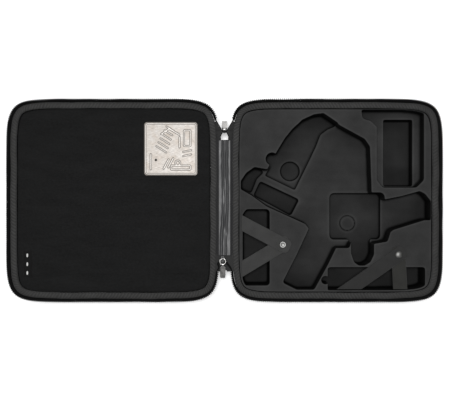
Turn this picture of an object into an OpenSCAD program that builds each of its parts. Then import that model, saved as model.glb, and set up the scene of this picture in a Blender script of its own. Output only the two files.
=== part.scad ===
// Zippered hard carrying case, lying open: a lid half with a plush pad and a
// base half with a moulded tray, joined by a fabric spine that folds twice.
// +X runs from the lid to the base, +Y along the spine, +Z up. The origin is
// on the floor, in the middle of the open case.

/* [Case] */
// Width of each half over the zipper, from the spine to the front
half_w = 360; // [350:1:372]
// Depth of each half over the zipper, side to side
half_d = 344; // [336:1:352]
// Height of the rim above the floor while the case lies open
rim_h = 58; // [56:1:64]
// Squareness of the outline (2 is an ellipse)
corner_exponent = 8.4; // [7:0.2:8.8]
// Wall thickness of the moulded shells
shell_wall = 5; // [4:0.5:6]
// Radius between a shell's floor and its sides
shell_foot_r = 16; // [12:1:18]

/* [Spine and zipper] */
// Width of the fabric spine, which is also the gap that the zipper closes
spine_w = 20; // [18:1:22]
// Where the spine ends, towards the upper zipper end
spine_top = 102; // [95:1:104]
// Where the spine ends, towards the lower zipper end
spine_bottom = -93; // [-96:1:-85]
// How far the zipper leans out past the binding
zipper_flare = 4.5; // [3:0.5:5]
// Width of the bound edge seen from above
binding_w = 10; // [8:1:11]
// Length of a pull tab
pull_tab_l = 26; // [20:1:30]
// Width of a pull tab
pull_tab_w = 9; // [7:0.5:10]

/* [Tray] */
// Gap between the binding and the tray or the pad
liner_gap = 1; // [0.5:0.5:2.5]
// How far the tray and the pad lie below the rim
liner_drop = 4; // [3:0.5:6]
// Depth of the hollow for the frame of what the case carries
frame_hollow_d = 30; // [22:1:32]
// Depth of its deeper upper side
lobe_d = 36; // [34:1:38]
// Depth of the slanted motor recess and the round recess
motor_recess_d = 44; // [40:1:44]
// Depth of the square pocket in the middle
plate_pocket_d = 42; // [36:1:43]
// Depth of the two long accessory pockets
long_pocket_d = 40; // [34:1:40]
// Depth of the battery's pocket
battery_d = 42; // [36:1:44]
// Depth of the shelf round the battery's pocket
battery_shelf_d = 22; // [14:1:26]

/* [Straps] */
// Width of the webbing straps
strap_w = 24; // [20:1:25]
// Thickness of the webbing
strap_t = 1.6; // [1.2:0.1:2]
// Radius of the snap caps
snap_r = 6.2; // [5:0.1:7]

/* [Layout plate] */
// Side of the pressed metal plate on the pad
plate_side = 91; // [80:1:95]
// Thickness of the plate without its relief
plate_t = 1.4; // [1:0.1:2]

/* [Handle] */
// Distance between the handle's two pivots
handle_span = 116; // [100:1:130]
// Drop of the handle below its pivots
handle_drop = 27; // [24:1:28]

/* [Hidden] */

// Clearance between neighbours that are not fixed to each other
slack = 0.3;
// Stations round an outline
stations = 80;

half_x = half_w / 2 + (spine_w - 2) / 2;
zip_a = half_w / 2;
zip_b = half_d / 2;
// Distances inwards from the zipper's outer edge, square to the outline
bind_in = zipper_flare + 0.5;
shell_in = bind_in + 0.4;
liner_in = bind_in + binding_w + liner_gap;
shell_top = rim_h - 6;
shell_draft = 4;
liner_z = rim_h - liner_drop;
hinge_x = spine_w / 2;
zip_top = rim_h + spine_w / 2 - slack / 2;
// Distance from the middle of the spine side to each end of a zipper
zip_lower_end = 121;
zip_upper_end = 136;

// ---------------------------------------------------------------- outlines

function side(v) = v < 0 ? -1 : 1;

// A share of a half width or depth, bowed towards the corners
function bowed(v) = side(v) * pow(abs(v), 2 / corner_exponent);

// Component of the outline's normal before it is scaled to length 1
function lean(v, reach) =
    side(v) * pow(abs(v), 2 - 2 / corner_exponent) / reach;

// Point of the outline at a turn angle, moved inwards square to it
function rim_point(in, turn) =
    let (normal = [lean(cos(turn), zip_a), lean(sin(turn), zip_b)], unit = normal / norm(normal))
    [zip_a * bowed(cos(turn)), zip_b * bowed(sin(turn))] - in * unit;

function outline(in) = [for (i = [0 : stations - 1]) rim_point(in, 360 * i / stations)];

// Two triangles for the patch between two stations of two rings
function patch(p, q, r, s) = [[p, q, r], [p, r, s]];

// Closed solid through rings given as [distance inwards, height]
module loft(rings) {
    n = stations;
    last = len(rings) - 1;
    points = [for (k = rings, p = outline(k[0])) [p[0], p[1], k[1]]];
    sides = [for (k = [0 : last - 1], i = [0 : n - 1]) let (j = (i + 1) % n)
        each patch(k * n + i, (k + 1) * n + i, (k + 1) * n + j, k * n + j)];
    floor_cap = [for (i = [0 : n - 1]) i];
    top_cap = [for (i = [n - 1 : -1 : 0]) last * n + i];
    polyhedron(points = points, faces = concat(sides, [floor_cap, top_cap]));
}

// Band that follows the rim from one turn angle to another. Its section is
// given as [distance inwards, height], clockwise.
module rim_band(section, from, to) {
    closed = to - from == 360;
    m = len(section);
    steps = round(stations * (to - from) / 360);
    rows = closed ? steps : steps + 1;
    points = [for (i = [0 : rows - 1], s = section)
        let (p = rim_point(s[0], from + (to - from) * i / steps))
        [p[0], p[1], s[1]]];
    sides = [for (i = [0 : steps - 1], j = [0 : m - 1])
        let (k = (i + 1) % rows, l = (j + 1) % m)
        each patch(i * m + j, i * m + l, k * m + l, k * m + j)];
    start_cap = [for (j = [m - 1 : -1 : 0]) j];
    end_cap = [for (j = [0 : m - 1]) steps * m + j];
    polyhedron(points = points, faces = closed ? sides : concat(sides, [start_cap, end_cap]));
}

module at_base() translate([half_x, 0, 0]) children();

// The lid half is the mirror of the base half in the spine
module at_lid() mirror([1, 0, 0]) at_base() children();

module rounded(r) offset(r = r) offset(delta = -r) children();

// ------------------------------------------------------------- both halves

// Distance of a shell's surface from its rim line at a height, for a foot radius
function foot_inset(z, r) = z >= r ? 0 : r - sqrt(r * r - (r - z) * (r - z));

function shell_ring(z, r, wall) =
    [shell_in + wall + shell_draft * (1 - z / shell_top) + foot_inset(z, r), z];

module shell() {
    foot = [for (k = [0 : 5]) shell_foot_r * (1 - cos(15 * k))];
    inner_r = shell_foot_r - shell_wall;
    inner_foot = [for (k = [5 : -1 : 0]) inner_r * (1 - cos(15 * k))];
    loft(concat(
        [for (z = foot) shell_ring(z, shell_foot_r, 0)],
        [shell_ring(shell_top, shell_foot_r, 0)],
        [shell_ring(shell_top, shell_foot_r, shell_wall)],
        [for (z = inner_foot) shell_ring(z, inner_r, shell_wall) + [0, shell_wall]]
    ));
}

// Tape folded over the shell's edge: flat outside, rounded on top
module binding() {
    w = binding_w;
    foot = shell_top + slack;
    rim_band([
        [bind_in + w, foot], [bind_in, foot], [bind_in, rim_h - 1],
        [bind_in + 0.15 * w, rim_h + 1], [bind_in + 0.5 * w, rim_h + 1.8],
        [bind_in + 0.85 * w, rim_h + 1], [bind_in + w, rim_h - 1]
    ], 0, 360);
}

// Turn angle at which the spine side of the outline is this far from its middle
function turn_at(y) = 180 - asin(pow(y / zip_b, corner_exponent / 2));

zip_from = -turn_at(zip_lower_end);
zip_to = turn_at(zip_upper_end);

// Tape that stands on the binding's outer side and leans out
module zipper_tape() {
    foot = bind_in - slack;
    rim_band([
        [foot, shell_top - 4], [foot - 1, shell_top - 4], [foot - 1, rim_h],
        [0.6, zip_top - 1.2], [1.6, zip_top - 1.2], [foot, rim_h]
    ], zip_from, zip_to);
}

module zipper_coil() {
    low = zip_top - 1.2;
    rim_band([
        [2.4, low], [0, low], [0, zip_top - 0.4], [0.5, zip_top], [1.9, zip_top],
        [2.4, zip_top - 0.4]
    ], zip_from, zip_to);
}

// -------------------------------------------------------------- base half

module base_shell() color("dimgray") at_base() shell();

module base_binding() color("gray") at_base() binding();

// The base half's band is open at its spine side, which is its -X side
module base_zipper_tape() color("black") at_base() zipper_tape();

module base_zipper_coil() color("black") at_base() zipper_coil();

// Hollow for the frame: lobe, ridge wall, grip slot and its slanted left side
module frame_hollow() rounded(4) polygon([
    [-20, 149], [8, 128], [50, 105], [59, 92], [62, 4], [62, -66], [28, -66], [24, -81],
    [1, -81], [-12, -108], [-36, -152], [-66, -152], [-90, -140], [-65, -91], [-45, -48],
    [-51, -40], [-117, -10], [-143, 9], [-168, 23], [-152, 47], [-138, 57], [-116, 53],
    [-100, 83], [-86, 106], [-74, 121], [-56, 138], [-36, 147]
]);

// Side of the frame hollow that goes deeper, left of a slanted step
module lobe() rounded(3) polygon([
    [-20, 149], [8, 130], [-9, 123], [-21, 114], [-29, 93], [-40, 70], [-66, 17],
    [-120, 43], [-112, 56], [-100, 83], [-86, 106], [-74, 121], [-56, 138], [-36, 147]
]);

module knob_recess() translate([-108, 71]) circle(r = 10.7, $fn = 48);

module end_recess() rounded(5) polygon([
    [-168, 23], [-152, 47], [-138, 57], [-116, 52], [-132, 37], [-142, 11]
]);

module motor_recess() rounded(5) polygon([
    [-127.5, 35], [-57.5, 2], [-73, -28], [-140, 8]
]);

module round_recess() translate([-74.5, 51]) circle(r = 18.3, $fn = 64);

module plate_pocket() rounded(8) translate([-6.5, -69]) square([90.5, 82.5]);

module plate_pocket_ring() translate([27, -40]) difference() {
    circle(r = 14.4, $fn = 64);
    circle(r = 12, $fn = 64);
}

module tongue() rounded(7) polygon([
    [27, -55], [66, -55], [66, -92], [60, -105], [50, -111], [40, -111], [32, -105], [27, -90]
]);

module arm_hollow() rounded(4) polygon([
    [56, 0], [76, 0], [114, 7.5], [144, 16], [153, 11], [165, -4], [165, -33.5],
    [152, -33.5], [99, -50], [94, -54], [89, -70], [66, -74], [56, -74]
]);

module battery_shelf() rounded(7) polygon([
    [44, 165], [46, 140], [60, 136], [71, 125], [71, 35], [81, 22], [138, 22], [151, 35],
    [151, 165]
]);

module battery_pocket() rounded(3) translate([85.5, 24]) square([51.5, 116.5]);

module left_pocket() rounded(6) polygon([
    [-158, -24], [-152, -15], [-112, -15], [-112, -145], [-158, -145]
]);

module right_pocket() rounded(4) union() {
    translate([-13, -160]) square([166, 46]);
    translate([-17, -136]) circle(r = 7, $fn = 32);
}

// One pocket cut down from the tray's face, kept off the tray's edge
module pocket(depth, edge = 3) translate([0, 0, liner_z - depth]) linear_extrude(depth + 1)
    intersection() {
        polygon(outline(liner_in + edge));
        children();
    }

module base_tray() color([0.2, 0.2, 0.2]) at_base() difference() {
    loft([
        [liner_in + 10, shell_wall + slack],
        [liner_in + 3, shell_wall + 6],
        [liner_in, shell_foot_r + 2],
        [liner_in, liner_z]
    ]);
    pocket(frame_hollow_d) frame_hollow();
    pocket(lobe_d) lobe();
    pocket(lobe_d) knob_recess();
    pocket(lobe_d) end_recess();
    pocket(motor_recess_d) motor_recess();
    pocket(motor_recess_d - 2) round_recess();
    pocket(plate_pocket_d) plate_pocket();
    pocket(plate_pocket_d + 1.5) plate_pocket_ring();
    pocket(plate_pocket_d) tongue();
    pocket(frame_hollow_d + 3, 1.2) arm_hollow();
    pocket(battery_shelf_d, 1.2) battery_shelf();
    pocket(battery_d) battery_pocket();
    pocket(long_pocket_d - 2) left_pocket();
    pocket(long_pocket_d) right_pocket();
}

// ----------------------------------------------------------------- handle

handle_z = 31;
handle_t = 4.2;
ear_r = 2.5;
boss_r = 2.2;
pin_r = 1.2;
handle_x = half_x + zip_a - ear_r;
// Distance from the handle's pivots to the outer wall
wall_gap = 3.5;
bracket_t = 0.9;

module at_handle_ends()
    for (e = [-1, 1]) translate([handle_x, e * handle_span / 2, handle_z]) children();

module handle_brackets() color([0.12, 0.12, 0.12]) difference() {
    at_handle_ends() union() {
        translate([-wall_gap, -13, -4]) cube([bracket_t, 26, 16]);
        for (e = [-1, 1]) translate([0, e * 8.5, 0]) rotate([90, 0, 0])
            linear_extrude(3, center = true) union() {
                circle(r = ear_r, $fn = 48);
                translate([-wall_gap, -ear_r]) square([wall_gap, 2 * ear_r]);
            }
    }
    at_handle_ends() rotate([90, 0, 0]) cylinder(r = pin_r, h = 22, center = true, $fn = 48);
}

module handle_pins() color("silver") at_handle_ends() rotate([90, 0, 0])
    cylinder(r = pin_r, h = 20, center = true, $fn = 48);

module handle_rivets() color("silver") at_handle_ends() for (e = [-1, 1])
    translate([bracket_t - wall_gap, e * 7, 7.5]) rotate([0, 90, 0]) rotate_extrude($fn = 48)
        polygon([[0, 0], [2.8, 0], [2.6, 0.6], [1.6, 1.2], [0, 1.4]]);

// U-shaped grip that hangs against the front wall
module carry_handle() color([0.14, 0.14, 0.14]) translate([handle_x, 0, handle_z]) difference() {
    union() {
        rotate([90, 0, 90]) linear_extrude(handle_t, center = true) difference() {
            rounded(6) translate([-handle_span / 2 - 6, -handle_drop])
                square([handle_span + 12, handle_drop + 1]);
            rounded(4) translate([-handle_span / 2 + 6, -handle_drop + 13])
                square([handle_span - 12, handle_drop]);
        }
        rotate([90, 0, 0]) intersection() {
            cylinder(r = boss_r, h = handle_span + 12, center = true, $fn = 48);
            for (e = [-1, 1]) translate([0, 0, e * handle_span / 2])
                cube([8, 8, 12], center = true);
        }
    }
    rotate([90, 0, 0])
        cylinder(r = pin_r + 0.05, h = handle_span + 40, center = true, $fn = 48);
}

// ----------------------------------------------------------------- straps

strap_low_z = liner_z + 1;
strap_rise = 3.3;
left_root_x = -160;
left_snap = [-90, -75];
right_root_y = -151;
right_snap = [107, -92];

// Strap from a root point to a snap, cut along the wall that it is sewn to
module strap_outline(root, snap, wall_along_y) {
    past = 60;
    run = snap - root;
    angle = atan2(run[1], run[0]);
    difference() {
        translate(root) rotate(angle) union() {
            translate([-20, -strap_w / 2]) square([norm(run) + 20, strap_w]);
            translate([norm(run), 0]) rounded(8) square([27, strap_w], center = true);
        }
        translate([root[0] - past, root[1] - past])
            square(wall_along_y ? [past, 2 * past] : [2 * past, past]);
        translate(snap) circle(r = 2, $fn = 48);
    }
}

// Webbing that climbs by strap_rise from its root line to its snap
module strap(root, snap, wall_along_y, rise) {
    run = wall_along_y ? snap[0] - root[0] : snap[1] - root[1];
    lean = rise == 0 ? 0 : asin(rise / run);
    at_base() translate([root[0], root[1], strap_low_z])
        rotate(wall_along_y ? [0, -lean, 0] : [lean, 0, 0]) translate([-root[0], -root[1], 0])
            linear_extrude(strap_t) strap_outline(root, snap, wall_along_y);
}

module strap_left_lower() color("dimgray") strap([left_root_x, -117], left_snap, true, 0);

module strap_left_upper() color("dimgray") strap([left_root_x, -38], left_snap, true, strap_rise);

module strap_right_lower() color([0.38, 0.38, 0.34])
    strap([110, right_root_y], right_snap, false, 0);

module strap_right_upper() color("dimgray") strap([23, right_root_y], right_snap, false, strap_rise);

snap_floor = strap_low_z - 0.6;
snap_stud_z = strap_low_z + strap_t;
snap_cap_z = snap_stud_z + strap_rise + 0.4;

module at_snap(snap, z) at_base() translate([snap[0], snap[1], z]) children();

// Flanged eyelet under the lower strap, with its shank through the webbing
module snap_post() color("silver") rotate_extrude($fn = 64)
    polygon([[0, 0], [4.6, 0], [4.6, 0.5], [1.8, 0.5], [1.8, 0.6 + strap_t], [0, 0.6 + strap_t]]);

module snap_stud() color("silver") rotate_extrude($fn = 64)
    polygon([[0, 0.02], [4.4, 0.02], [4.4, 0.5], [2.4, 0.5], [2.6, 1.3], [0, 1.5]]);

// Ring that grips the stud, under the upper strap
module snap_socket() color("silver") rotate_extrude($fn = 64)
    polygon([[3, 0], [5.2, 0], [5.4, 0.55], [3, 0.55]]);

module dome_cap() color("silver") rotate_extrude($fn = 64)
    polygon([[0, 0], [snap_r, 0], [snap_r, 0.5], [0.8 * snap_r, 1.5], [0.4 * snap_r, 2.2], [0, 2.4]]);

module ring_cap() color("silver") rotate_extrude($fn = 64)
    polygon([[0, 0], [snap_r, 0], [snap_r, 0.6], [0.8 * snap_r, 1.7], [0.5 * snap_r, 1.6],
        [0.38 * snap_r, 0.6], [0, 0.6]]);

module snap_left_post() at_snap(left_snap, snap_floor) snap_post();

module snap_left_stud() at_snap(left_snap, snap_stud_z) snap_stud();

module snap_left_socket() at_snap(left_snap, snap_stud_z + 0.8) snap_socket();

module snap_left_cap() at_snap(left_snap, snap_cap_z) ring_cap();

module snap_right_post() at_snap(right_snap, snap_floor) snap_post();

module snap_right_stud() at_snap(right_snap, snap_stud_z) snap_stud();

module snap_right_socket() at_snap(right_snap, snap_stud_z + 0.8) snap_socket();

module snap_right_cap() at_snap(right_snap, snap_cap_z) dome_cap();

// ------------------------------------------------------- spine and zipper ends

module spine_panel(low, thick, edge) translate([-hinge_x + edge, spine_bottom, low])
    cube([spine_w - 2 * edge, spine_top - spine_bottom, thick]);

// Stiff strip outside, seen from below
module spine_strip() color([0.1, 0.1, 0.1]) spine_panel(rim_h - 2.2, 1.2, slack);

// Satin lining that faces up while the case lies open
module spine_lining() color("slategray") spine_panel(rim_h - 1, 1, slack + 0.5);

// Two tape ends that run from the rims to the slider, then to the spine
module zipper_tails_upper() color("black") translate([0, 0, rim_h - 3]) linear_extrude(2.4)
    for (e = [-1, 1]) scale([e, 1]) polygon([
        [4.5, spine_top + 0.3], [9, spine_top + 0.3], [9.5, 118], [14, 136], [12.6, 137],
        [6, 124], [1.2, 117.5], [6, 110]
    ]);

module zipper_gusset_lower() color([0.12, 0.12, 0.12]) translate([0, 0, rim_h - 2.6])
    linear_extrude(1.4) polygon([
        [-9.5, spine_bottom - 0.3], [9.5, spine_bottom - 0.3], [9.5, -113], [11, -124],
        [2, -119], [-6, -119], [-11, -124], [-9.5, -113]
    ]);

ring_r = 4.9;
ring_wire = 0.75;
slider_l = 11;
// Along the slider from its nose, and above its top: the bridge's eye
eye = [4, 1.8];

// Wedge that joins the two coils: its nose at y = 0, its wide mouth towards +Y
module slider_wedge() translate([0, 0, -4]) linear_extrude(4)
    rounded(1) polygon([[-2.6, 0], [2.6, 0], [4.2, slider_l], [-4.2, slider_l]]);

// Slider whose bridge has an eye for a ring
module ring_slider() color([0.1, 0.1, 0.1]) union() {
    slider_wedge();
    rotate([90, 0, 90]) linear_extrude(1.8, center = true) difference() {
        polygon([[0.6, -0.1], [1.4, 2.6], [2.6, 4], [5.4, 4], [6.6, 2.6], [7.4, -0.1]]);
        translate(eye) circle(r = 1.35, $fn = 48);
    }
}

// Slider with two lugs and a cross pin that holds a tab
module pin_slider() color([0.1, 0.1, 0.1]) union() {
    slider_wedge();
    for (e = [-1, 1]) translate([e * 2.5, 0, 0]) rotate([90, 0, 90])
        linear_extrude(0.8, center = true)
            polygon([[0.4, -0.1], [0.4, 2.6], [1.2, 3.1], [2.4, 3.1], [3.2, 2.6], [3.6, -0.1]]);
    translate([0, eye[1], eye[1]]) rotate([0, 90, 0])
        cylinder(r = 0.8, h = 5, center = true, $fn = 48);
}

// Flat tab with a rolled eye round the x axis, pointing to +Y
module pull_tab(eye_r, bore_r, eye_w) color("silver") difference() {
    union() {
        rotate([0, 90, 0]) cylinder(r = eye_r, h = eye_w, center = true, $fn = 48);
        translate([0, 0, -0.6]) linear_extrude(1.2) rounded(1.5) union() {
            translate([-eye_w / 2, 0]) square([eye_w, 7]);
            translate([-pull_tab_w / 2, 4]) square([pull_tab_w, pull_tab_l - 4]);
        }
    }
    rotate([0, 90, 0]) cylinder(r = bore_r, h = eye_w + 2, center = true, $fn = 48);
}

upper_end = [0, 118.5, rim_h - 6];
upper_dip = -50;
lower_end = [-3, -94.5, rim_h + 3];
lower_tab_dip = -24;

module at_upper() translate(upper_end) rotate([upper_dip, 0, 0]) children();

module at_lower() translate(lower_end) rotate([0, 0, 180]) children();

module slider_upper() at_upper() pin_slider();

module pull_tab_upper() at_upper() translate([0, eye[1], eye[1]]) pull_tab(1.5, 0.87, 3.8);

module slider_lower() at_lower() ring_slider();

// Wire ring that lies on the slider, through the bridge's eye
module pull_ring_lower() color("silver") at_lower() translate([0, eye[0] + ring_r, eye[1]])
    rotate_extrude($fn = 48) translate([ring_r, 0]) circle(r = ring_wire, $fn = 24);

module pull_tab_lower() at_lower() translate([0, eye[0] + 2 * ring_r, eye[1]])
    rotate([lower_tab_dip, 0, 0]) pull_tab(2, 1.3, 3.2);

// --------------------------------------------------------------- lid half

module lid_shell() color("dimgray") at_lid() shell();

module lid_binding() color("gray") at_lid() binding();

module lid_zipper_tape() color("black") at_lid() zipper_tape();

module lid_zipper_coil() color("black") at_lid() zipper_coil();

pad_t = 5;

// Foam that fills the lid under the pad
module lid_foam() color([0.3, 0.3, 0.3]) at_lid() loft([
    [liner_in + 10, shell_wall + slack],
    [liner_in + 3, shell_wall + 6],
    [liner_in + 3, liner_z - pad_t]
]);

module lid_pad() color([0.1, 0.1, 0.1]) at_lid() loft([
    [liner_in, liner_z - pad_t],
    [liner_in, liner_z - 1],
    [liner_in + 1.2, liner_z]
]);

plate_at = [-91.5, 88, liner_z];
relief = 0.8;

module frame_of(size, wall, r) difference() {
    rounded(r) square(size, center = true);
    rounded(r / 2) square([size[0] - 2 * wall, size[1] - 2 * wall], center = true);
}

module bar(at, length, width, angle) translate(at) rotate(angle)
    rounded(width / 2.2) square([length, width], center = true);

// Raised outlines that show, in general shapes, what goes where
module plate_relief() {
    frame_of([plate_side - 3, plate_side - 3], 2, 5);
    translate([28, 18]) frame_of([13, 29], 2, 2);
    translate([17, -32]) frame_of([35, 9], 2, 2);
    translate([12, -24]) difference() {
        circle(r = 5, $fn = 48);
        circle(r = 3, $fn = 48);
    }
    for (k = [0 : 5]) bar([-16 + 3 * k, -1 + 7 * k], 22 - k, 2, -32);
    bar([6, 29], 22, 2.4, -30);
    bar([-9, 30], 20, 2.4, 34);
    bar([15, 11], 20, 2.4, 90);
    bar([-8, -26], 20, 2.4, 62);
    bar([0, -24], 20, 2.4, 62);
    bar([-34, -22], 28, 2.4, 90);
    bar([28, -4], 16, 2, 12);
    bar([28, -11], 16, 2, 12);
}

module layout_plate() color([0.8, 0.78, 0.75]) translate(plate_at) union() {
    linear_extrude(plate_t) difference() {
        rounded(5) square(plate_side, center = true);
        translate([-25.5, -19]) circle(r = 1.6, $fn = 48);
    }
    translate([0, 0, plate_t]) linear_extrude(relief) difference() {
        plate_relief();
        translate([-25.5, -19]) circle(r = 2.2, $fn = 48);
    }
}

// Dark rivet in the plate's hole
module plate_rivet() color("black") translate([plate_at[0] - 25.5, plate_at[1] - 19, plate_at[2]])
    rotate_extrude($fn = 48) polygon([[0, 0], [1.5, 0], [1.5, 1.3], [1, 1.8], [0, 2]]);

// Blank folded label sewn to the pad
module woven_tag() color([0.15, 0.15, 0.15]) translate([-336, -108.5, liner_z + 0.5])
    cube([15, 46, 1], center = true);

base_shell();
base_tray();
base_binding();
base_zipper_tape();
base_zipper_coil();
handle_brackets();
handle_rivets();
handle_pins();
carry_handle();
strap_left_lower();
strap_left_upper();
strap_right_lower();
strap_right_upper();
snap_left_post();
snap_left_stud();
snap_left_socket();
snap_left_cap();
snap_right_post();
snap_right_stud();
snap_right_socket();
snap_right_cap();
spine_strip();
spine_lining();
zipper_tails_upper();
zipper_gusset_lower();
slider_upper();
slider_lower();
pull_ring_lower();
pull_tab_upper();
pull_tab_lower();
lid_shell();
lid_foam();
lid_pad();
lid_binding();
lid_zipper_tape();
lid_zipper_coil();
layout_plate();
plate_rivet();
woven_tag();
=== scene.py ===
import math

import bmesh
import bpy
import numpy as np
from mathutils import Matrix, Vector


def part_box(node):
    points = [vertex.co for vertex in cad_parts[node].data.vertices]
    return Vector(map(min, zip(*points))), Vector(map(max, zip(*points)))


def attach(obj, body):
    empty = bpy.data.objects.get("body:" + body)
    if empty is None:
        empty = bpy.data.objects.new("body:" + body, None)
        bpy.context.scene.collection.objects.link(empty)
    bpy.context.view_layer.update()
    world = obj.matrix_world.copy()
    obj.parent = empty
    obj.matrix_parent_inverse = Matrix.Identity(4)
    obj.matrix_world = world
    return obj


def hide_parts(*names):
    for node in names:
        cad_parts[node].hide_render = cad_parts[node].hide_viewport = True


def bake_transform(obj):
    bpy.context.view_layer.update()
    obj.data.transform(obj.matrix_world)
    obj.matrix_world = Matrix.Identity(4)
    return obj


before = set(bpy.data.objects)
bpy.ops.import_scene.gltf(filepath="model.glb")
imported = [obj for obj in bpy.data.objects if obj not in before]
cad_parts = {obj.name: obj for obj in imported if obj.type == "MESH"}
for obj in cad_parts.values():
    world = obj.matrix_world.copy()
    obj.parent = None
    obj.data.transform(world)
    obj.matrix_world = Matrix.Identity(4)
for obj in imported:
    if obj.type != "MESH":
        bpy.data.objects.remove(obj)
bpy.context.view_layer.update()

# ---- dimensions

# All in metres. Insets run from the zipper's outer edge inwards, square to the outline
BIND_IN = 0.005
BIND_W = 0.010
SHELL_IN = 0.0054
LINER_IN = 0.016
EXPONENT = 8.4

bind_lo, bind_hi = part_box("base_binding")
BASE_X = (bind_lo.x + bind_hi.x) / 2
HALF_W = (bind_hi.x - bind_lo.x) / 2 + BIND_IN
HALF_D = (bind_hi.y - bind_lo.y) / 2 + BIND_IN
RIM_Z = bind_hi.z - 0.0018
ZIP_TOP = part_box("base_zipper_coil")[1].z
SHELL_TOP = bind_lo.z - 0.0003
LINER_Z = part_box("lid_pad")[1].z
STRAP_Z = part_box("strap_left_lower")[0].z
SPINE_LO, SPINE_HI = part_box("spine_lining")
ZIP_LOWER_END = -0.121
ZIP_UPPER_END = 0.136


# ---- noise

def smooth_noise(p, scale, seed=0):
    """Smooth pseudo-random value from -1 to 1 at points p (n, 2) or (n, 3)."""
    r = np.random.default_rng(seed)
    total = np.zeros(len(p))
    dims = p.shape[1]
    for k in range(6):
        d = r.normal(size=dims)
        d /= np.linalg.norm(d)
        f = (0.6 + 0.9 * r.random()) / scale
        total += np.sin(2 * math.pi * f * (p @ d) + 2 * math.pi * r.random())
    return total / 3.2


# ---- outline

class Rim:
    """The case's outline, at equal steps along its length, with normals."""

    def __init__(self, count=960):
        a = np.linspace(0, 2 * math.pi, 24001) - math.pi
        c, s = np.cos(a), np.sin(a)
        r = (np.abs(c / HALF_W) ** EXPONENT + np.abs(s / HALF_D) ** EXPONENT) ** (-1 / EXPONENT)
        x, y = r * c, r * s
        step = np.hypot(np.diff(x), np.diff(y))
        run = np.concatenate([[0], np.cumsum(step)])
        self.length = run[-1]
        u = np.arange(count) / count * self.length
        self.u = u
        self.x = np.interp(u, run, x)
        self.y = np.interp(u, run, y)
        nx = np.sign(self.x) * np.abs(self.x) ** (EXPONENT - 1) / HALF_W ** EXPONENT
        ny = np.sign(self.y) * np.abs(self.y) ** (EXPONENT - 1) / HALF_D ** EXPONENT
        n = np.hypot(nx, ny)
        self.nx, self.ny = nx / n, ny / n
        self.count = count

    def on_circle(self, u):
        """Lengths u as points on a circle as long as the outline, so noise has no seam."""
        a = 2 * math.pi * u / self.length
        return np.column_stack([np.cos(a), np.sin(a)]) * self.length / (2 * math.pi)

    def at(self, u, inset):
        """Points and normals at lengths u along the outline (periodic)."""
        u = np.asarray(u) % self.length
        k = u / self.length * self.count
        i = np.floor(k).astype(int) % self.count
        j = (i + 1) % self.count
        f = k - np.floor(k)

        def mix(v):
            return v[i] * (1 - f) + v[j] * f

        nx, ny = mix(self.nx), mix(self.ny)
        n = np.hypot(nx, ny)
        nx, ny = nx / n, ny / n
        return np.stack([mix(self.x) - inset * nx, mix(self.y) - inset * ny], 1), nx, ny


rim = Rim()


def span_of_zipper():
    """Lengths along the outline where the zipper starts and ends. The outline
    starts in the middle of the spine side and runs towards -Y first."""
    spine_side = rim.x < -0.9 * HALF_W
    first_half = np.arange(rim.count) < rim.count / 2
    lower = spine_side & (rim.y <= ZIP_LOWER_END) & first_half
    upper = spine_side & (rim.y >= ZIP_UPPER_END) & ~first_half
    return rim.u[lower].min(), rim.u[upper].max()


ZIP_FROM, ZIP_TO = span_of_zipper()


def place(p, lid):
    """Moves points from the base half's own frame to the case's, mirrored for the lid."""
    q = np.array(p, float)
    q[:, 0] += BASE_X
    if lid:
        q[:, 0] *= -1
    return q


# ---- meshes

def add_object(name, data):
    obj = bpy.data.objects.new(name, data)
    bpy.context.scene.collection.objects.link(obj)
    return obj


def assign(obj, body=None, replaces=()):
    """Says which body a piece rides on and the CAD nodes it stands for."""
    if body:
        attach(obj, body)
    if replaces:
        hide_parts(*replaces)
    return obj


def all_smooth(mesh):
    mesh.polygons.foreach_set("use_smooth", [True] * len(mesh.polygons))


def make(name, verts, faces, body=None, material=None, uv=None, replaces=(), slot=None):
    """A mesh object in the row frame. uv holds one pair for each vertex."""
    mesh = bpy.data.meshes.new(name)
    mesh.from_pydata([tuple(v) for v in np.asarray(verts, float)], [], [list(f) for f in faces])
    if uv is not None:
        layer = mesh.uv_layers.new(name="uv")
        loops = np.zeros(len(mesh.loops), int)
        mesh.loops.foreach_get("vertex_index", loops)
        layer.data.foreach_set("uv", np.asarray(uv, float)[loops].ravel())
    all_smooth(mesh)
    mesh.validate()
    mesh.update()
    mesh.materials.append(material)
    return assign(add_object(name, mesh), body, replaces)


def flipped(faces, flip):
    return [tuple(reversed(f)) for f in faces] if flip else faces


def grid_faces(rows, cols, close_rows=False, close_cols=False):
    out = []
    for i in range(rows if close_rows else rows - 1):
        k = (i + 1) % rows
        for j in range(cols if close_cols else cols - 1):
            m = (j + 1) % cols
            out.append((i * cols + j, i * cols + m, k * cols + m, k * cols + j))
    return out


def make_half(name, verts, faces, lid, body, material, **facts):
    """A mesh drawn in the base half's own frame, put in its place or the lid's."""
    return make(name, place(verts, lid), flipped(faces, lid), body, material, **facts)


def sheet_faces(rows, cols):
    """Faces of a thin closed sheet: the upper grid of points, then the lower one."""
    n = rows * cols
    grid = grid_faces(rows, cols)
    loop = list(range(cols)) + [r * cols + cols - 1 for r in range(1, rows)]
    loop += list(range(n - 2, n - cols - 1, -1)) + [r * cols for r in range(rows - 2, 0, -1)]
    edge = [(b, a, n + a, n + b) for a, b in zip(loop, loop[1:] + loop[:1])]
    return grid + [tuple(n + i for i in reversed(f)) for f in grid] + edge


def joined(parts):
    """Verts and faces of many small meshes as one."""
    verts, faces, count = [], [], 0
    for v, f in parts:
        verts.append(v)
        faces += [tuple(i + count for i in face) for face in f]
        count += len(v)
    return np.concatenate(verts), faces


def tube_caps(levels, sides):
    """The two end faces of a closed tube made by grid_faces."""
    return [tuple(range(sides - 1, -1, -1)), tuple((levels - 1) * sides + k for k in range(sides))]


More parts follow.
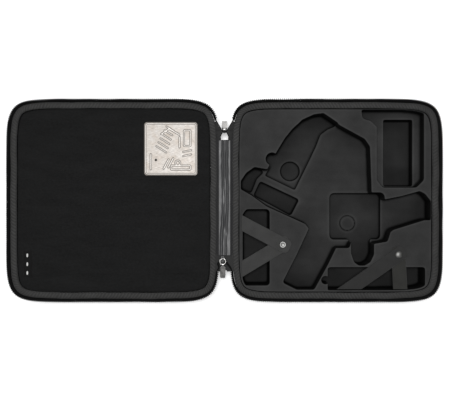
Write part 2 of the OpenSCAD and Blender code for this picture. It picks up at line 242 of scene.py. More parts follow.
def with_outward_normals(obj):
    bm = bmesh.new()
    bm.from_mesh(obj.data)
    bmesh.ops.recalc_face_normals(bm, faces=bm.faces)
    bm.to_mesh(obj.data)
    bm.free()
    return obj


def closed_sheet(name, top, under, rows, material, uv, **facts):
    """Thin closed sheet between two grids of points with this many rows."""
    cols = len(top) // rows
    return with_outward_normals(make(name, np.vstack([top, under]), sheet_faces(rows, cols),
                                     material=material, uv=np.vstack([uv, uv]), **facts))


def modify(obj, kind, **settings):
    """Adds a modifier with its settings and applies it."""
    mod = obj.modifiers.new(kind.lower(), kind)
    for key, value in settings.items():
        setattr(mod, key, value)
    graph = bpy.context.evaluated_depsgraph_get()
    mesh = bpy.data.meshes.new_from_object(obj.evaluated_get(graph), depsgraph=graph)
    obj.modifiers.clear()
    old = obj.data
    obj.data = mesh
    bpy.data.meshes.remove(old)


def lengths(path):
    """Length run along a path at each of its points."""
    return np.concatenate([[0], np.cumsum(np.hypot(*np.diff(path, axis=0).T))])


def band(name, section, lid, body, material, u=None, closed=True, wobble=None, **facts):
    """Sweeps a closed section [(inset, z)] along the outline. wobble(u, k) gives
    an extra (inset, z) for each station and section point."""
    section = np.asarray(section, float)
    m = len(section)
    along = rim.u if closed else u
    n = len(along)
    pts, nx, ny = rim.at(along, 0)
    run = lengths(section)
    verts = np.zeros((n, m, 3))
    for k in range(m):
        inset = np.full(n, section[k, 0])
        z = np.full(n, section[k, 1])
        if wobble is not None:
            di, dz = wobble(along, k)
            inset, z = inset + di, z + dz
        verts[:, k, 0] = pts[:, 0] - inset * nx
        verts[:, k, 1] = pts[:, 1] - inset * ny
        verts[:, k, 2] = z
    uv = np.zeros((n, m, 2))
    uv[:, :, 0] = along[:, None]
    uv[:, :, 1] = run[None, :]
    faces = grid_faces(n, m, close_rows=closed, close_cols=True)
    if not closed:
        faces += tube_caps(n, m)
    return make_half(name, verts.reshape(-1, 3), faces, lid, body, material,
                     uv=uv.reshape(-1, 2), **facts)


def refine(node, body, material, bevel=0.0, segments=2):
    """A CAD node's shape with its edges softened, in place of the node."""
    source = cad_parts[node]
    bm = bmesh.new()
    bm.from_mesh(source.data)
    bm.transform(source.matrix_world)
    bmesh.ops.remove_doubles(bm, verts=bm.verts, dist=1e-6)
    bmesh.ops.dissolve_limit(bm, angle_limit=math.radians(1.5), verts=bm.verts, edges=bm.edges)
    mesh = bpy.data.meshes.new(node + "_shown")
    bm.to_mesh(mesh)
    bm.free()
    obj = add_object(node + "_shown", mesh)
    if bevel:
        modify(obj, "BEVEL", width=bevel, segments=segments, limit_method="ANGLE",
               angle_limit=math.radians(32), use_clamp_overlap=True)
    all_smooth(obj.data)
    with_sharp_edges(obj, 40)
    obj.data.materials.clear()
    obj.data.materials.append(material)
    return assign(obj, body, [node])


def with_sharp_edges(obj, degrees):
    bm = bmesh.new()
    bm.from_mesh(obj.data)
    limit = math.radians(degrees)
    for e in bm.edges:
        e.smooth = not (len(e.link_faces) == 2 and e.calc_face_angle() > limit)
    bm.to_mesh(obj.data)
    bm.free()


def remeshed(node, voxel, rounds, material):
    """A CAD node's shape as an even mesh whose edges are rounded by smoothing."""
    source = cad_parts[node]
    obj = add_object(node + "_shown", source.data.copy())
    obj.data.materials.clear()
    obj.data.transform(source.matrix_world)
    modify(obj, "REMESH", mode="VOXEL", voxel_size=voxel, use_smooth_shade=True)
    modify(obj, "SMOOTH", factor=0.5, iterations=rounds)
    all_smooth(obj.data)
    obj.data.materials.append(material)
    return obj


def points_of(obj):
    co = np.zeros(len(obj.data.vertices) * 3)
    obj.data.vertices.foreach_get("co", co)
    return co.reshape(-1, 3)


def set_points(obj, co):
    obj.data.vertices.foreach_set("co", np.asarray(co, float).ravel())
    obj.data.update()


# ---- materials

class Nodes:
    """Short way to wire a material."""

    def __init__(self, name):
        self.mat = bpy.data.materials.new(name)
        self.mat.use_nodes = True
        self.tree = self.mat.node_tree
        self.tree.nodes.clear()
        self.out = self.tree.nodes.new("ShaderNodeOutputMaterial")
        self.bsdf = self.tree.nodes.new("ShaderNodeBsdfPrincipled")
        self.tree.links.new(self.bsdf.outputs[0], self.out.inputs[0])
        self.coords = self.tree.nodes.new("ShaderNodeTexCoord")

    def add(self, kind, **values):
        node = self.tree.nodes.new(kind)
        for key, value in values.items():
            setattr(node, key, value)
        return node

    def link(self, a, b):
        self.tree.links.new(a, b)

    def put(self, socket, value):
        if isinstance(value, bpy.types.NodeSocket):
            self.link(value, socket)
        elif value is not None:
            socket.default_value = (*value, 1) if socket.type == "RGBA" else value

    def wired(self, kind, **inputs):
        """The output of a new node whose named inputs are wired or set."""
        node = self.add("ShaderNode" + kind)
        for key, value in inputs.items():
            self.put(node.inputs[key], value)
        return node.outputs[0]

    def where(self, kind="Object", scale=(1, 1, 1)):
        return self.wired("Mapping", Vector=self.coords.outputs[kind], Scale=scale)

    def noise(self, vector, scale, detail=3, rough=0.6):
        return self.wired("TexNoise", Vector=vector, Scale=scale, Detail=detail, Roughness=rough)

    def math(self, operation, a, b=None):
        node = self.add("ShaderNodeMath", operation=operation)
        self.put(node.inputs[0], a)
        if b is not None:
            self.put(node.inputs[1], b)
        return node.outputs[0]

    def plus(self, a, b):
        return self.math("ADD", a, b)

    def times(self, a, b):
        return self.math("MULTIPLY", a, b)

    def split(self, kind):
        """The three coordinates of a kind as separate outputs."""
        node = self.add("ShaderNodeSeparateXYZ")
        self.link(self.coords.outputs[kind], node.inputs[0])
        return node.outputs

    def attribute(self, name):
        return self.add("ShaderNodeAttribute", attribute_name=name).outputs["Fac"]

    def spread(self, value, low, high, out_low=0.0, out_high=1.0):
        node = self.add("ShaderNodeMapRange")
        self.put(node.inputs[0], value)
        for k, v in enumerate((low, high, out_low, out_high)):
            node.inputs[k + 1].default_value = v
        return node.outputs[0]

    def woven_tone(self, main, share, fuzz, fuzz_share, patch, patchy):
        """Threads and fuzz added up by their shares, lighter and darker in patches."""
        tone = self.plus(self.times(main, share), self.times(fuzz, fuzz_share))
        return self.plus(tone, self.spread(patch, 0.3, 0.7, -patchy, patchy))

    def mix(self, share, a, b):
        node = self.add("ShaderNodeMix", data_type="RGBA")
        self.put(node.inputs[0], share)
        self.put(node.inputs[6], a)
        self.put(node.inputs[7], b)
        return node.outputs[2]

    def bump(self, height, distance, strength, below=None):
        return self.wired("Bump", Height=height, Distance=distance, Strength=strength,
                          Normal=below)

    def finish(self, color, rough, normal=None, **fixed):
        self.put(self.bsdf.inputs["Base Color"], color)
        self.put(self.bsdf.inputs["Roughness"], rough)
        self.put(self.bsdf.inputs["Normal"], normal)
        for key, value in fixed.items():
            self.bsdf.inputs[key.replace("_", " ")].default_value = value
        return self.mat


def shade(color, k):
    return tuple(c * k for c in color)


def velour(name, color, fuzz=2600, sheen=0.04, patchy=0.16, painted_shading=False):
    """Short pile: fine grain, patches where the pile lies another way. It can also paint
    light and shade into its colour: a painted highlight on edges that stand out, and painted
    shade in creases, on steep walls and on deep, closed-in floors."""
    n = Nodes(name)
    at = n.where()
    grain = n.noise(at, fuzz, 2)
    clump = n.noise(at, 420, 4, 0.65)
    patch = n.noise(at, 26, 3, 0.5)
    tone = n.plus(n.spread(grain, 0.25, 0.75, -0.5, 0.5),
                  n.spread(clump, 0.25, 0.75, -0.5, 0.5))
    tone = n.plus(n.times(tone, 0.5), n.spread(patch, 0.3, 0.7, -0.5, 0.5))
    tone = n.spread(tone, -1, 1)
    base = n.mix(tone, shade(color, 1 - 2 * patchy), shade(color, 1 + 2 * patchy))
    if painted_shading:
        # Painted shade on steep walls and in creases, painted highlight on edges that stand out
        edge = n.attribute("crease")
        level = n.spread(n.split("Normal")[2], 0.2, 0.85, 0.34, 1.0)
        convex = n.spread(edge, 0, 1, 1.0, 1.35)
        hollow = n.spread(edge, -1, 0, 0.3, 1.0)
        height = n.split("Object")[2]
        # Painted shade: darker on deep, closed-in floors and on the lowest floors, where less
        # light reaches
        closed_in = n.attribute("closed_in")
        hollow = n.times(hollow, n.spread(closed_in, 0, 1, 0.93, 0.44))
        hollow = n.times(hollow, n.spread(height, 0.012, 0.030, 0.86, 1.0))
        light_and_shade = n.times(n.times(level, convex), hollow)
        scaled = n.add("ShaderNodeVectorMath", operation="SCALE")
        n.link(base, scaled.inputs[0])
        n.link(light_and_shade, scaled.inputs["Scale"])
        base = scaled.outputs[0]
    normal = n.bump(grain, 0.00016, 0.7, n.bump(clump, 0.0006, 0.5))
    return n.finish(base, n.spread(patch, 0.3, 0.7, 0.88, 0.97), normal,
                    Sheen_Weight=sheen, Sheen_Roughness=0.5,
                    Specular_IOR_Level=0.02 if painted_shading else 0.25)


def plush(name, color):
    """Brushed pile whose strokes run across the lid."""
    n = Nodes(name)
    at = n.where()
    stroke = n.noise(n.where(scale=(0.22, 1, 1)), 900, 3)
    wide = n.noise(n.where(scale=(0.25, 1, 1)), 60, 4, 0.6)
    grain = n.noise(at, 2400, 2)
    tone = n.plus(n.spread(stroke, 0.25, 0.75, -0.5, 0.5),
                  n.spread(wide, 0.3, 0.7, -0.3, 0.3))
    tone = n.plus(tone, n.spread(n.noise(at, 300, 4, 0.7), 0.3, 0.7, -0.4, 0.4))
    base = n.mix(n.spread(tone, -0.8, 0.8), shade(color, 0.45), shade(color, 1.55))
    normal = n.bump(grain, 0.00015, 0.6, n.bump(stroke, 0.0005, 0.5))
    return n.finish(base, 0.93, normal, Sheen_Weight=0.035, Sheen_Roughness=0.45,
                    Specular_IOR_Level=0.2)


def twill(name, color, pitch, slant=0.8):
    """Diagonal ribs along a band, with the threads that cross them."""
    n = Nodes(name)
    along, across = n.split("UV")[:2]
    wander = n.spread(n.noise(n.where(), 90, 2), 0.3, 0.7, -0.15, 0.15)
    phase = n.math("DIVIDE", n.plus(along, n.times(across, slant)), pitch)
    rib = n.math("SINE", n.times(n.plus(phase, wander), 2 * math.pi))
    rib = n.spread(rib, -1, 1)
    thread = n.noise(n.where("UV"), 1500, 2)
    patch = n.noise(n.where(), 40, 3)
    tone = n.woven_tone(rib, 0.5, thread, 0.4, patch, 0.15)
    base = n.mix(n.spread(tone, 0, 0.9), shade(color, 0.55), shade(color, 1.45))
    normal = n.bump(thread, 0.0002, 0.5, n.bump(rib, 0.0007, 1.0))
    return n.finish(base, 0.8, normal, Sheen_Weight=0.1, Sheen_Roughness=0.4,
                    Specular_IOR_Level=0.3)


def weave(name, color, pitch, contrast=0.3, sheen=0.05, specular=0.3):
    """Plain weave: two sets of threads that pass over each other."""
    n = Nodes(name)
    along, across = (n.math("SINE", n.times(c, 2 * math.pi / pitch)) for c in n.split("UV")[:2])
    cross = n.spread(n.times(along, across), -1, 1)
    fuzz = n.noise(n.where(), 1800, 2)
    patch = n.noise(n.where(), 22, 3)
    tone = n.woven_tone(cross, 0.6, fuzz, 0.5, patch, 0.12)
    base = n.mix(n.spread(tone, 0, 1.1), shade(color, 1 - contrast), shade(color, 1 + contrast))
    normal = n.bump(fuzz, 0.00015, 0.4, n.bump(cross, 0.00025, 0.8))
    return n.finish(base, 0.85, normal, Sheen_Weight=sheen, Specular_IOR_Level=specular)


def webbing(name, color, rows=0.0016, ribs=0.0013):
    """Belt weave: lengthwise cords with short cross ribs, offset on every other cord."""
    n = Nodes(name)
    along, across = n.split("UV")[:2]
    cord = n.math("DIVIDE", across, rows)
    odd = n.times(n.math("FLOOR", cord), 0.5)
    rib = n.plus(n.math("DIVIDE", along, ribs), odd)
    rib = n.math("SINE", n.times(rib, 2 * math.pi))
    bulge = n.math("SINE", n.times(n.math("FRACT", cord), math.pi))
    height = n.times(bulge, n.spread(rib, -1, 1, 0.45, 1))
    fuzz = n.noise(n.where(), 1500, 3)
    patch = n.noise(n.where(), 55, 3)
    tone = n.woven_tone(height, 0.6, fuzz, 0.45, patch, 0.15)
    base = n.mix(n.spread(tone, 0.05, 1.0), shade(color, 0.55), shade(color, 1.35))
    normal = n.bump(fuzz, 0.00012, 0.5, n.bump(height, 0.00035, 0.9))
    return n.finish(base, 0.82, normal, Sheen_Weight=0.12, Sheen_Roughness=0.4,
                    Specular_IOR_Level=0.3)


def satin(name, color):
    """Smooth lining with a soft shine and fine lengthwise threads."""
    n = Nodes(name)
    thread = n.noise(n.where(scale=(1, 0.06, 1)), 2600, 2)
    patch = n.noise(n.where(scale=(1, 0.35, 1)), 90, 3)
    base = n.mix(n.spread(n.plus(n.times(thread, 0.5),
                                 n.times(patch, 0.5)), 0.3, 0.7),
                 shade(color, 0.85), shade(color, 1.15))
    normal = n.bump(thread, 0.00002, 0.4)
    return n.finish(base, n.spread(patch, 0.3, 0.7, 0.42, 0.52), normal,
                    Specular_IOR_Level=0.45, Sheen_Weight=0.1, Sheen_Roughness=0.3)


def metal(name, color, rough=0.25, scratch=0.08, grime=0.5):
    n = Nodes(name)
    fine = n.noise(n.where(scale=(1, 6, 1)), 900, 3)
    patch = n.noise(n.where(), 160, 4)
    base = n.mix(n.spread(patch, 0.35, 0.75, 0, 1), color, shade(color, grime))
    normal = n.bump(fine, 0.00003, 0.4)
    return n.finish(base, n.spread(fine, 0.3, 0.7, rough - scratch, rough + scratch), normal,
                    Metallic=1.0)


def coated(name, color, rough=0.4, specular=0.45):
    """Painted or moulded surface with a fine grain and rubbed spots."""
    n = Nodes(name)
    grain = n.noise(n.where(), 2200, 2)
    patch = n.noise(n.where(), 70, 4)
    base = n.mix(n.spread(patch, 0.4, 0.75), color, shade(color, 1.7))
    normal = n.bump(grain, 0.00008, 0.6)
    return n.finish(base, n.spread(patch, 0.3, 0.7, rough - 0.08, rough + 0.1), normal,
                    Specular_IOR_Level=specular)


def pressed_plate(name, color, low_z, high_z):
    """Pressed sheet: a painted highlight on the raised relief, browner in its hollows."""
    n = Nodes(name)
    raised = n.spread(n.split("Object")[2], low_z, high_z)
    stain = n.noise(n.where(), 75, 4, 0.6)
    brushed = n.noise(n.where(scale=(0.08, 1, 1)), 2200, 2)
    flat = n.mix(n.spread(stain, 0.35, 0.7), color,
                 (color[0] * 0.80, color[1] * 0.74, color[2] * 0.68))
    # Painted highlight: the raised relief is made half as bright again as the rest
    base = n.mix(raised, flat, tuple(min(1.0, c * 1.5) for c in color))
    normal = n.bump(brushed, 0.00003, 0.5)
    return n.finish(base, n.spread(brushed, 0.3, 0.7, 0.38, 0.52), normal, Metallic=0.35,
                    Specular_IOR_Level=0.5)


SHELL = weave("shell_fabric", (0.013, 0.013, 0.014), 0.0014, contrast=0.35, sheen=0.04)
# The tray's velour paints shade and highlight into its colour from the crease and closed_in
# measures
VELOUR = velour("tray_velour", (0.0345, 0.0346, 0.0346), sheen=0.0, painted_shading=True)
PLUSH = plush("pad_plush", (0.0056, 0.0057, 0.0058))
BINDING = twill("binding_twill", (0.029, 0.0288, 0.0284), 0.0056)
TAPE = weave("zipper_tape", (0.0085, 0.0085, 0.0087), 0.0012, contrast=0.3, sheen=0.0,
             specular=0.05)
COIL = coated("zipper_coil", (0.004, 0.004, 0.004), 0.6, specular=0.15)
SATIN = satin("satin", (0.0215, 0.022, 0.0235))
SPINE = weave("spine_cloth", (0.014, 0.014, 0.015), 0.0012, contrast=0.3)
EDGE_CLOTH = weave("edge_cloth", (0.021, 0.021, 0.021), 0.0012, contrast=0.4, sheen=0.02)
WEB_GREY = webbing("webbing_grey", (0.035, 0.035, 0.0346))
WEB_OLIVE = webbing("webbing_olive", (0.0205, 0.0205, 0.0185))
WEB_DARK = webbing("webbing_dark", (0.0195, 0.0195, 0.0192))
THREAD = coated("thread", (0.02, 0.02, 0.02), 0.7)
NICKEL = metal("nickel", (0.58, 0.57, 0.555), 0.33)
SNAP = metal("snap_nickel", (0.20, 0.20, 0.195), 0.5)
BLACK_METAL = coated("black_metal", (0.012, 0.012, 0.012), 0.35)
BLACK_PLASTIC = coated("black_plastic", (0.016, 0.016, 0.017), 0.5)
TAG = weave("tag_cloth", (0.005, 0.005, 0.005), 0.0007, contrast=0.3, specular=0.15)
PALE = weave("tag_pale", (0.55, 0.55, 0.54), 0.0007, contrast=0.2)

# Each half: its name, whether it is the lid, and its body
LIDS = (("base", False, "base"), ("lid", True, "lid"))


# ---- shells

SHELL_WALL = 0.005
SHELL_DRAFT = 0.004
FOOT_RADIUS = 0.016
STEP_DEPTH = 0.0009
STEP_Z = 0.040
# The floor panel's moulded groove, as (distance inwards from the foot, z)
FLOOR_GROOVE = ((0.008, 0.0), (0.0140, 0.0), (0.0152, 0.0010), (0.0175, 0.0014),
                (0.0198, 0.0010), (0.0210, 0.0))


def shell_profile():
    """Outer profile [(inset, z)] from the rim down to the floor panel."""
    out = []
    for z in np.linspace(SHELL_TOP, FOOT_RADIUS, 15):
        inset = SHELL_IN + SHELL_DRAFT * (1 - z / SHELL_TOP)
        # A shallow moulded step under the zipper tape
        inset += STEP_DEPTH / (1 + math.exp((z - STEP_Z) / 0.0006))
        out.append((inset, z))
    for k in range(1, 13):
        a = math.radians(90 * k / 12)
        z = FOOT_RADIUS * (1 - math.sin(a))
        inset = SHELL_IN + SHELL_DRAFT * (1 - z / SHELL_TOP) + STEP_DEPTH
        out.append((inset + FOOT_RADIUS * (1 - math.cos(a)), z))
    return out


def shell(name, lid, body):
    outer = shell_profile()
    inner = [(SHELL_IN + SHELL_WALL + SHELL_DRAFT * (1 - z / SHELL_TOP), z)
             for z in (SHELL_TOP, 0.03, 0.017)]
    inner += [(0.0235, SHELL_WALL + 0.0035), (0.028, SHELL_WALL)]
    rings = list(reversed(inner)) + outer
    n = rim.count // 2
    u = rim.u[::2]
    verts, uv = [], []
    run = 0.0
    for k, (inset, z) in enumerate(rings):
        p, _, _ = rim.at(u, inset)
        verts.append(np.column_stack([p, np.full(n, z)]))
        if k:
            run += math.hypot(inset - rings[k - 1][0], z - rings[k - 1][1])
        flat = z < 0.003 and k >= len(inner)
        uv.append(p if flat else np.column_stack([u, np.full(n, run)]))
    # The groove's rings are the foot's, drawn in towards the middle
    foot = outer[-1][0]
    for d, z in FLOOR_GROOVE:
        p = verts[len(rings) - 1][:, :2] * (1 - d / (HALF_W - foot))
        verts.append(np.column_stack([p, np.full(n, z)]))
        uv.append(p)
    faces = grid_faces(len(verts), n, close_cols=True)

    def close(edge, z, outward):
        """Fills a floor with rings that shrink from an edge ring to a point."""
        order = 1 if outward else -1
        last = edge * n
        for share in (0.75, 0.5, 0.25):
            start = sum(len(v) for v in verts)
            p = verts[edge][:, :2] * share
            verts.append(np.column_stack([p, np.full(n, z)]))
            uv.append(p)
            for i in range(n):
                j = (i + 1) % n
                faces.append((last + i, last + j, start + j, start + i)[::order])
            last = start
        verts.append(np.array([[0, 0, z]]))
        uv.append(np.array([[0.0, 0.0]]))
        faces.extend((last + i, last + (i + 1) % n, last + n)[::order] for i in range(n))

    close(0, rings[0][1], False)
    close(len(rings) + len(FLOOR_GROOVE) - 1, 0.0, True)
    make_half(name + "_shell_shown", np.concatenate(verts), faces, lid, body, SHELL,
              uv=np.concatenate(uv), replaces=[name + "_shell"], slot="shell_fabric")


for half, lid, body in LIDS:
    shell(half, lid, body)


# ---- binding and stitches

def binding_section():
    foot, shoulder = SHELL_TOP + 0.0003, RIM_Z - 0.001
    out = [(BIND_IN + BIND_W, foot), (BIND_IN, foot)]
    out += [(BIND_IN, z) for z in np.linspace(foot, shoulder, 5)[1:]]
    for k in range(1, 14):
        a = math.pi * k / 14
        out.append((BIND_IN + BIND_W * (1 - math.cos(a)) / 2,
                    shoulder + 0.0028 * math.sin(a) ** 0.7))
    out += [(BIND_IN + BIND_W, z) for z in np.linspace(shoulder, foot, 5)[:-1]]
    return out


def binding_wobble(seed):
    def wobble(u, k):
        if k < 2:
            return np.zeros(len(u)), np.zeros(len(u))
        p = rim.on_circle(u)
        slow = smooth_noise(p, 0.085, seed)
        fast = smooth_noise(p, 0.018, seed + 1)
        inset = 0.00045 * slow + 0.00015 * fast
        return inset, 0.00025 * smooth_noise(p, 0.04, seed + 2) + 0.0001 * fast
    return wobble


def prism(a, b, width, height, sides=6):
    """Thin thread from a to b, as verts and faces."""
    a, b = np.array(a, float), np.array(b, float)
    d = b - a
    d = d / np.linalg.norm(d)
    up = np.array([0, 0, 1.0])
    if abs(d @ up) > 0.9:
        up = np.array([1.0, 0, 0])
    side = np.cross(d, up)
    side /= np.linalg.norm(side)
    up = np.cross(side, d)
    verts = []
    for t, k in ((0, 0.35), (0.2, 1), (0.8, 1), (1, 0.35)):
        c = a + (b - a) * t
        for s in range(sides):
            g = 2 * math.pi * s / sides
            verts.append(c + k * (width * math.cos(g) * side + height * math.sin(g) * up))
    return np.array(verts), grid_faces(4, sides, close_cols=True) + tube_caps(4, sides)


def threads(name, ends, radius, lid, body, slot):
    """Many short stitches as one piece. ends holds pairs of points in the base's own frame."""
    verts, faces = joined(prism(a, b, radius, radius) for a, b in ends)
    return make_half(name, verts, faces, lid, body, THREAD, slot=slot)


def rim_stitches(u, inset, z, length):
    a, _, _ = rim.at(u, inset)
    b, _, _ = rim.at(u + length, inset)
    return [((p[0], p[1], z), (q[0], q[1], z)) for p, q in zip(a, b)]


for half, lid, body in LIDS:
    band(half + "_binding_shown", binding_section(), lid, body, BINDING,
         wobble=binding_wobble(11 if lid else 21), replaces=[half + "_binding"],
         slot="binding_twill")
    u = np.arange(0, rim.length - 0.003, 0.0038)
    threads(half + "_binding_stitches",
            rim_stitches(u, BIND_IN + BIND_W - 0.0016, RIM_Z + 0.0003, 0.0026), 0.00028,
            lid, body, "binding_twill")


# ---- zipper

TAPE_STEP = 0.0022
TOOTH_PITCH = 0.0034


def tape_section():
    foot = BIND_IN - 0.0003
    low = SHELL_TOP - 0.004
    inner = [(foot, low), (foot, RIM_Z - 0.002), (foot - 0.0004, RIM_Z + 0.001),
             (foot - 0.0016, RIM_Z + 0.0045), (0.0018, ZIP_TOP - 0.001)]
    outer = [(p[0] - 0.0009, p[1]) for p in reversed(inner)]
    return outer + inner


def tape_wobble(seed):
    def wobble(u, k):
        p = rim.on_circle(u)
        free = (0, 0.2, 0.6, 1, 1)
        share = (free[::-1] + free)[k]
        return 0.0004 * share * smooth_noise(p, 0.06, seed), np.zeros(len(u))
    return wobble


def tooth():
    """One tooth: a rounded hook, as wide as half the pitch. x along, y outwards, z up."""
    w, d, h = 0.00085, 0.0016, 0.0030
    sides = 10
    verts = []
    levels = ((0, 0.9, 0.75), (0.25, 1, 1), (0.6, 0.8, 0.95), (0.85, 1.0, 1.0), (1.0, 0.7, 0.6))
    for z, kx, ky in levels:
        for s in range(sides):
            a = 2 * math.pi * s / sides
            c, sn = math.cos(a), math.sin(a)
            verts.append((kx * w * math.copysign(abs(c) ** 0.6, c),
                          ky * d * math.copysign(abs(sn) ** 0.6, sn), h * (z - 1)))
    faces = grid_faces(len(levels), sides, close_cols=True) + tube_caps(len(levels), sides)
    return np.array(verts), faces


def teeth(half, lid, body):
    """A tooth at each pitch along the tape's top edge, square to the outline."""
    p, nx, ny = rim.at(np.arange(ZIP_FROM + 0.001, ZIP_TO, TOOTH_PITCH), 0.0012)
    v, f = tooth()
    parts = []
    for (x, y), cx, cy in zip(p, nx, ny):
        turn = np.array([[-cy, cx, 0], [cx, cy, 0], [0, 0, 1]])
        parts.append((v @ turn + (x, y, ZIP_TOP), f))
    verts, faces = joined(parts)
    make_half(half + "_zipper_teeth", verts, faces, lid, body, COIL,
              replaces=[half + "_zipper_coil"], slot="zipper_coil")


for half, lid, body in LIDS:
    u = np.linspace(ZIP_FROM, ZIP_TO, int((ZIP_TO - ZIP_FROM) / TAPE_STEP))
    band(half + "_zipper_tape_shown", tape_section(), lid, body, TAPE, u=u,
         closed=False, wobble=tape_wobble(31 if lid else 41),
         replaces=[half + "_zipper_tape"], slot="zipper_tape")
    teeth(half, lid, body)
    u = np.arange(ZIP_FROM + 0.002, ZIP_TO - 0.004, 0.0036)
    threads(half + "_tape_stitches",
            rim_stitches(u, BIND_IN - 0.0013, SHELL_TOP - 0.0022, 0.0024), 0.00025, lid, body,
            "zipper_tape")


# ---- tray

# Moulded walls lean outwards by this much for each unit of height
DRAFT = 0.035
# The ring pressed into the square pocket's floor
RING_X, RING_Y = 0.027, -0.040
RING_RADIUS, RING_WIDTH, RING_DEPTH = 0.0132, 0.0011, 0.0016


def spread_out(obj, values, rounds):
    """Values averaged over each point's neighbours, rounds times."""
    edges = np.zeros(len(obj.data.edges) * 2, int)
    obj.data.edges.foreach_get("vertices", edges)
    a, b = edges[::2], edges[1::2]
    count = len(obj.data.vertices)
    degree = np.bincount(a, minlength=count) + np.bincount(b, minlength=count)
    out = values.astype(float)
    for _ in range(rounds):
        total = np.zeros_like(out)
        for c in range(out.shape[1]):
            total[:, c] = np.bincount(a, out[b, c], count) + np.bincount(b, out[a, c], count)
        out = 0.5 * out + 0.5 * total / degree[:, None]
    return out


def normals_of(obj):
    out = np.zeros(len(obj.data.vertices) * 3)
    obj.data.vertices.foreach_get("normal", out)
    return out.reshape(-1, 3)


def store(obj, name, values):
    layer = obj.data.attributes.new(name, "FLOAT", "POINT")
    layer.data.foreach_set("value", values.astype(np.float32))


def mark_creases(obj, rounds, full):
    """Stores how far each point stands out of (above 0) or lies in (below 0) its
    surroundings, as a share of full."""
    co = points_of(obj)
    out = np.sum((co - spread_out(obj, co, rounds)) * normals_of(obj), axis=1) / full
    store(obj, "crease", np.clip(out, -1, 1))


def mark_closed_in(obj, cell, reach, full):
    """Stores how far each point lies below the mean height round it, as a share of full."""
    co = points_of(obj)
    lo, hi = co[:, :2].min(0) - reach, co[:, :2].max(0) + reach
    size = np.ceil((hi - lo) / cell).astype(int) + 1
    at = ((co[:, :2] - lo) / cell).astype(int)
    level = np.full(size, -1.0)
    np.maximum.at(level, (at[:, 0], at[:, 1]), co[:, 2])
    level[level < 0] = RIM_Z
    width = int(2 * reach / cell) | 1
    kernel = np.full(width, 1 / width)
    padded = np.pad(level, width // 2, constant_values=RIM_Z)
    for axis in (1, 0):
        padded = np.apply_along_axis(np.convolve, axis, padded, kernel, "valid")
    mean = padded
    out = (mean[at[:, 0], at[:, 1]] - co[:, 2]) / full
    store(obj, "closed_in", np.clip(out, 0, 1))


tray = remeshed("base_tray", *(((0.0011, 8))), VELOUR)
co = points_of(tray)
inner = (co[:, 2] > 0.008) & (np.abs(co[:, 0] - BASE_X) < HALF_W - LINER_IN - 0.0012)
inner &= np.abs(co[:, 1]) < HALF_D - LINER_IN - 0.0012
facing = spread_out(tray, normals_of(tray), 2)
facing[:, 2] = 0
facing /= np.maximum(np.linalg.norm(facing, axis=1), 0.3)[:, None]
co += facing * (DRAFT * (LINER_Z - co[:, 2]) * inner)[:, None]
slow = smooth_noise(co, 0.09, 3)
fine = smooth_noise(co, 0.022, 4)
top = np.clip((co[:, 2] - 0.012) / 0.004, 0, 1)
co[:, 2] += top * (0.00035 * slow + 0.00012 * fine)
co[:, 2] = np.minimum(co[:, 2], LINER_Z + 0.0004)
ring = np.hypot(co[:, 0] - BASE_X - RING_X, co[:, 1] - RING_Y)
on_floor = (co[:, 2] < 0.0145) & (co[:, 2] > 0.009)
co[:, 2] -= RING_DEPTH * on_floor * np.exp(-((ring - RING_RADIUS) / RING_WIDTH) ** 2)
set_points(tray, co)
# These two measures drive the tray velour's painted shade and painted highlight
mark_creases(tray, 12, 0.00038)
mark_closed_in(tray, 0.002, 0.038, 0.020)
assign(tray, "base", ["base_tray"])


# ---- lid

PAD_EDGE = 0.0020
# The pad's pressed creases: middle, depth and how far each bows
PAD_CREASES = ((0.134, 0.0022, 0.0012), (-0.128, 0.0018, -0.001))


def lid_pad():
    """Plush pad: crowned, rolled down at its rim, with two pressed creases."""
    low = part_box("lid_pad")[0].z
    rings = [(LINER_IN + 0.0004, low), (LINER_IN, low + 0.0014)]
    for k in range(1, 8):
        a = math.radians(90 * k / 7)
        rings.append((LINER_IN + PAD_EDGE * (1 - math.cos(a)),
                      low + 0.0014 + 0.0032 * math.sin(a)))
    n = rim.count // 2
    u = rim.u[::2]
    verts = []
    for inset, z in rings:
        p, _, _ = rim.at(u, inset)
        verts.append(np.column_stack([p, np.full(n, z)]))
    edge = verts[-1]
    steps = 60
    for k in range(1, steps):
        share = 1 - k / steps
        q = edge.copy()
        q[:, :2] *= share
        verts.append(q)
    points = np.concatenate(verts)
    first = len(rings) * n
    x, y = points[first:, 0], points[first:, 1]
    p = np.column_stack([x, y])
    z = 0.0003 * smooth_noise(p, 0.16, 51) + 0.00012 * smooth_noise(p, 0.03, 52)
    for at, depth, bow in PAD_CREASES:
        line = at + bow * np.sin(x * 9)
        z -= depth * np.exp(-((y - line) / 0.0016) ** 2)
    points[first:, 2] += z + 0.0002
    centre = len(points)
    points = np.vstack([points, [[0, 0, points[-1, 2]]]])
    rows = len(rings) + steps - 1
    faces = grid_faces(rows, n, close_cols=True)
    faces += [((rows - 1) * n + i, (rows - 1) * n + (i + 1) % n, centre) for i in range(n)]
    under = len(points)
    points = np.vstack([points, [[0, 0, low]]])
    faces += [((i + 1) % n, i, under) for i in range(n)]
    points[:, 2] = np.minimum(points[:, 2], LINER_Z - 0.0001)
    return make("lid_pad_shown", place(points, True), faces, "lid", PLUSH,
                replaces=["lid_pad"], slot="pad_plush")


pad = lid_pad()

FOAM = velour("foam", (0.012, 0.012, 0.012), fuzz=900)
assign(remeshed("lid_foam", 0.006, 2, FOAM), "lid", ["lid_foam"])

PLATE_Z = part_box("layout_plate")[0].z
PLATE = pressed_plate("plate_metal", (0.262, 0.246, 0.229), PLATE_Z + 0.0015, PLATE_Z + 0.0021)
plate = remeshed("layout_plate", 0.00042, 3, PLATE)
assign(plate, "lid", ["layout_plate"])
refine("plate_rivet", "lid", BLACK_METAL)


